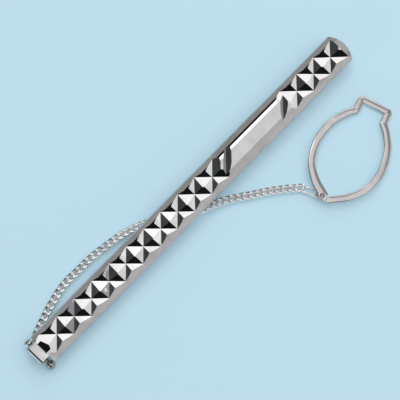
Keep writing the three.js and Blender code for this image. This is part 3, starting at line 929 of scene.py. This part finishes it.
def cutTools(angle):
    # one V tool for each cut in this direction, with the slight differences of hand work
    values = diamondCuts
    firstLong, lastShort = tailX + values["longStart"], noseX - values["shortBack"]
    longs = [firstLong + i * values["pitch"] for i in range(values["longCount"])]
    shorts = [lastShort - i * values["pitch"] for i in range(values["shortCount"])]
    places = [(x, values["depth"], values["slopes"][angle]) for x in longs + shorts]
    if angle < 0:
        for x in (longs[-1] + values["endStep"], shorts[-1] - values["endStep"]):
            places.append((x, values["endDepth"], values["endSlopes"]))
    tools = []
    for x, depth, slopes in places:
        byHand = [a + chance.uniform(-1, 1) * values["handSlope"] for a in slopes]
        behind, ahead = (depth / math.tan(math.radians(a)) for a in byHand)
        tool = block("cut", (-behind, -2.85, 0.0), (ahead, 2.85, 0.3))
        pick(tool, lambda px, py, pz: pz < 0.01)
        extrude((0, 0, -depth))
        bpy.ops.transform.resize(value=(0, 1, 1), center_override=(0, 0, 0))
        objectMode()
        turn = angle + chance.uniform(-1, 1) * values["handTurn"]
        tool.rotation_euler = (0, 0, math.radians(turn))
        along, height = x + chance.uniform(-0.05, 0.05), top + chance.uniform(-0.02, 0.005)
        tool.location = Vector((along, 0, height)) * mm
        tools.append(settle(tool))
    return tools


def rampTool():
    # the short ramp that the graver leaves where the face ends above the tongue
    foot = top - frontBar["tongueStep"] - frontBar["rampDip"]
    start, over = bodyTail - 0.05, top + 0.1
    outline = [(start, foot), (start + frontBar["rampLength"], over), (start - 0.05, over)]
    return sideTool("ramp", outline, frontBar["landWidth"] - 0.85)


def makeBar():
    bar = solidBar()
    carve(bar, channelTool())
    carve(bar, underTool())
    hood, hollow, mouth, bore = tongueHood()
    carve(bar, hood, "UNION")
    for tool in (hollow, mouth, rampTool()):
        carve(bar, tool)
    for tool in cutTools(45) + cutTools(-45):
        carve(bar, tool)
    carve(bar, bore)
    smooth(bar, 12)
    return finishWith(bar, "WEIGHTED_NORMAL", keep_sharp=True, weight=60)


def brightenCuts(bar):
    # the facets keep the graver's own mirror polish
    bar.data.materials.append(cutSilver)
    editAll(bar)
    bpy.ops.mesh.select_mode(type="FACE")
    bpy.ops.mesh.select_all(action="DESELECT")
    bpy.ops.object.mode_set(mode="OBJECT")
    for face in bar.data.polygons:
        sloped = face.normal.z > 0.87 and abs(face.normal.x) > 0.12
        face.select = sloped and face.center.z > 2.85 * mm
    bpy.ops.object.mode_set(mode="EDIT")
    bar.active_material_index = 1
    bpy.ops.object.material_slot_assign()
    objectMode()


bar = dress(makeBar(), silver, "face_plate", "front", "bar_shell")
brightenCuts(bar)
print("bar done")

# hinge pin, leaf spring and its two rivets
hingePin = {"radius": 0.32, "ball": 0.68, "headGap": 0.05, "end": 2.23}
leafSpring = {"thick": 0.2, "width": 1.7, "camTop": 1.5, "restGap": 0.05, "length": 13.5}
rivet = {"radius": 0.28, "head": 0.55}


def makePin():
    ball, radius = hingePin["ball"], hingePin["radius"]
    centre = -(frontBar["tongueWidth"] / 2 + hingePin["headGap"] + ball)
    neck = math.asin(radius / ball)
    profile = []
    for k in range(15):
        a = 0.12 + (math.pi - neck - 0.12) * k / 14
        profile.append((centre - ball * math.cos(a), ball * math.sin(a)))
    # the other end is peened over into a small domed head
    peened = [(0, 0), (0.03, 0.12), (0.07, 0.2), (0.16, 0.19), (0.25, 0.11), (0.31, -0.05), (0.335, -0.2)]
    profile += [(hingePin["end"] + along, radius + wider) for along, wider in peened]
    return smooth(turned("hingePin", profile, 32, "Y", (pinX, 0, pinZ)), 40)


def makeSpring():
    values = leafSpring
    half = values["thick"] / 2
    low = values["camTop"] + values["restGap"] + half
    high = roofUnder - 0.03 - half
    rise = pinX + 0.85
    path = [(pinX - 0.45, 0, low), (rise, 0, low), (rise + 4.5, 0, high), (tailX + values["length"], 0, high)]
    line = rounded(path, 0.6, 4)
    return smooth(drawAlong("leafSpring", line, values["thick"], values["width"], 0.05, axis="Y"), 40)


def makeRivet(name, x):
    head = roofUnder - 0.03 - leafSpring["thick"] - 0.03
    profile = [(head - 0.25, 0.12), (head - 0.245, 0.25), (head - 0.215, 0.4), (head - 0.15, 0.5)]
    profile += [(head - 0.08, rivet["head"]), (head, rivet["head"])]
    profile += [(head + 0.001, rivet["radius"]), (roofUnder + 0.19, rivet["radius"])]
    return smooth(turned(name, profile, 28, "Z", (x, 0, 0)), 40)


dress(makePin(), pinSteel, "pin_metal", "jaw", "hinge_pin")
dress(makeSpring(), springSteel, "spring_metal", "front", "leaf_spring")
for number in (1, 2):
    node = f"spring_rivet_{number}"
    low, high = (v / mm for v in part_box(node))
    piece = makeRivet(f"springRivet{number}", (low.x + high.x) / 2)
    dress(piece, springSteel, "spring_metal", "front", node)
print("pin, spring and rivets done")

# back jaw: flat strip, cam round the pin, raised toothed grip and turned-down nose
backJaw = {
    "thick": 0.45,
    "width": 3.0,
    "camSize": 1.5,
    "camWidth": 1.7,
    "camCut": 0.42,
    "noseDrop": 0.85,
    "noseTaper": 0.72,
    "gripLength": 10.0,
    "gripLift": 1.15,
    "toothPitch": 1.2,
    "toothHeight": 0.5,
    "toothWidth": 0.4,
    "bore": 0.37,
}


def makeJaw():
    values = backJaw
    low, high = (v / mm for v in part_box("back_jaw"))
    nose = high.x
    gripEnd = nose - 2.3
    gripStart = gripEnd - values["gripLength"]
    half = values["thick"] / 2
    camHalf = values["camSize"] / 2
    raised = values["gripLift"] + half
    path = [
        (pinX + 0.3, 0, half), (gripStart - 2.9, 0, half), (gripStart - 0.1, 0, raised),
        (gripEnd, 0, raised), (nose - 0.02, 0, raised - values["noseDrop"]),
    ]
    line = rounded(path, 0.7, 5)
    # extra stops near the cam, where the strip narrows to pass between the flanges
    stops = [pinX + camHalf + step for step in (0.3, 2.0, 3.8)]
    path = [line[0]] + [Vector((x, 0, half)) for x in stops] + line[1:]
    jaw = drawAlong("backJaw", path, values["thick"], values["width"], 0.07, axis="Y")
    neck = values["camWidth"] / values["width"]
    for where, share in ((pinX + 0.3, neck), (stops[0], neck), (stops[1], (1 + neck) / 2)):
        pick(jaw, lambda x, y, z: abs(x - where) < 0.05)
        bpy.ops.transform.resize(value=(1, share, 1), center_override=(0, 0, 0))
    pick(jaw, lambda x, y, z: x > nose - 0.35)
    bpy.ops.transform.resize(value=(1, values["noseTaper"], 1), center_override=(0, 0, 0))
    objectMode()
    # square cam with one corner cut at 45 degrees, the flat that holds the clip open
    camSide = values["camWidth"] / 2
    cam = block("cam", (pinX - camHalf, -camSide, 0), (pinX + camHalf, camSide, values["camSize"]))
    pickEdges(cam, lambda a, b: min(a.z, b.z) > 1.4 and max(a.x, b.x) < pinX)
    bpy.ops.mesh.bevel(offset=values["camCut"] * mm, segments=1, affect="EDGES")
    objectMode()
    softenEdges(cam, 0.06, 2, 30)
    carve(jaw, cam, "UNION")
    # teeth along both edges of the grip, slanted towards the hinge
    base = values["gripLift"] + values["thick"]
    pitch, toothHalf, teeth = values["toothPitch"], values["toothWidth"] / 2, []
    for i in range(int((values["gripLength"] - 0.6) / pitch)):
        x = gripStart + 0.4 + i * pitch
        for side in (-1, 1):
            y = side * (values["width"] / 2 - toothHalf)
            low = (x, y - toothHalf, base - 0.1)
            high = (x + pitch * 0.95, y + toothHalf, base + values["toothHeight"])
            tooth = block("tooth", low, high)
            pick(tooth, lambda px, py, pz: pz > base)
            tip = ((x + pitch * 0.3) * mm, y * mm, 0)
            bpy.ops.transform.resize(value=(0.06, 0.9, 1), center_override=tip)
            teeth.append(settle(tooth))
    carve(jaw, join(teeth, "teeth"), "UNION")
    hole = values["bore"]
    carve(jaw, turned("bore", [(-3, hole), (3, hole)], 32, "Y", (pinX, 0, pinZ)))
    return smooth(settle(jaw), 24)


dress(makeJaw(), jawSteel, "jaw_metal", "jaw", "back_jaw")
print("jaw done")

# studio: floor, soft boxes and dark cards
studio = {
    "floorColor": (0.5, 0.7, 0.8),
    "floorSize": 2.0,
    "floorWash": 1.15,
    "worldColor": (0.4, 0.41, 0.425),
    "washSize": 1.6,
    "reach": 1.0,
    # each box: compass turn in the camera's view (0 is up, clockwise), degrees off the zenith,
    # width and height in metres, brightness
    "boxes": {
        "north": (0, 48, 0.8, 0.6, 1.08),
        "zenith": (135, 1, 0.8, 0.86, 0.62),
        "border": (-32, 30, 0.3, 0.3, 1.9),
        "east": (78, 48, 0.5, 0.4, 0.66),
        "southEast": (130, 73, 0.7, 0.4, 0.28),
        "southEastFill": (130, 42, 0.4, 0.5, 0.3),
        "northEast": (38, 79, 0.6, 0.36, 0.15),
        "southWest": (225, 72, 0.6, 0.5, 0.8),
    },
    # dark cards that keep the dark sides of the cuts dark; the last number is their grey
    "flags": {
        "south": (180, 42, 0.7, 0.62, 0.015),
        "southWest": (236, 35, 0.5, 0.5, 0.02),
        "west": (-92, 49, 0.7, 0.86, 0.1),
        "northWest": (-38, 52, 0.36, 0.56, 0.01),
    },
}


def heldTowards(name, compass, off):
    # turns the active object to face the piece from a compass turn and an angle off the zenith
    heading = math.radians(90 + viewPoint["azimuth"] - compass)
    tilt = math.radians(off)
    flat = math.sin(tilt)
    towards = Vector((flat * math.cos(heading), flat * math.sin(heading), math.cos(tilt)))
    piece = bpy.context.object
    piece.name = name
    piece.location = towards * studio["reach"]
    piece.rotation_euler = towards.to_track_quat("Z", "Y").to_euler()
    return piece


def paper(name, color):
    material = bpy.data.materials.new(name)
    material.use_nodes = True
    shader = material.node_tree.nodes["Principled BSDF"]
    shader.inputs["Base Color"].default_value = (*color, 1)
    shader.inputs["Roughness"].default_value = 0.95
    shader.inputs["Specular IOR Level"].default_value = 0.05
    return material


def makeStudio():
    scene = bpy.context.scene
    scene.view_settings.view_transform = "Standard"
    scene.view_settings.look = "None"
    bpy.ops.object.select_all(action="DESELECT")
    bpy.ops.mesh.primitive_plane_add(size=studio["floorSize"])
    floor = called("floor")
    floor.data.materials.append(paper("paperFloor", studio["floorColor"]))
    world = bpy.data.worlds.new("studioWorld")
    scene.world = world
    world.use_nodes = True
    world.node_tree.nodes["Background"].inputs["Color"].default_value = (*studio["worldColor"], 1)
    for name, (compass, off, width, height, strength) in studio["boxes"].items():
        bpy.ops.object.light_add(type="AREA")
        box = heldTowards(name + "Box", compass, off)
        box.data.shape = "RECTANGLE"
        box.data.size = width
        box.data.size_y = height
        box.data.energy = strength * math.pi * width * height
    for name, (compass, off, width, height, grey) in studio["flags"].items():
        bpy.ops.mesh.primitive_plane_add(size=1)
        flag = heldTowards(name + "Flag", compass, off)
        flag.scale = (width, height, 1)
        flag.data.materials.append(paper(name + "Card", (grey, grey, grey)))
    # a wide wash for the floor only, left out of the metal's reflections
    bpy.ops.object.light_add(type="AREA")
    wash = heldTowards("floorWash", 0, 0)
    wash.data.size = studio["washSize"]
    wash.data.energy = studio["floorWash"] * math.pi * studio["washSize"] ** 2
    wash.visible_glossy = False
    wash.data.use_shadow = False


makeStudio()
print("studio ready")
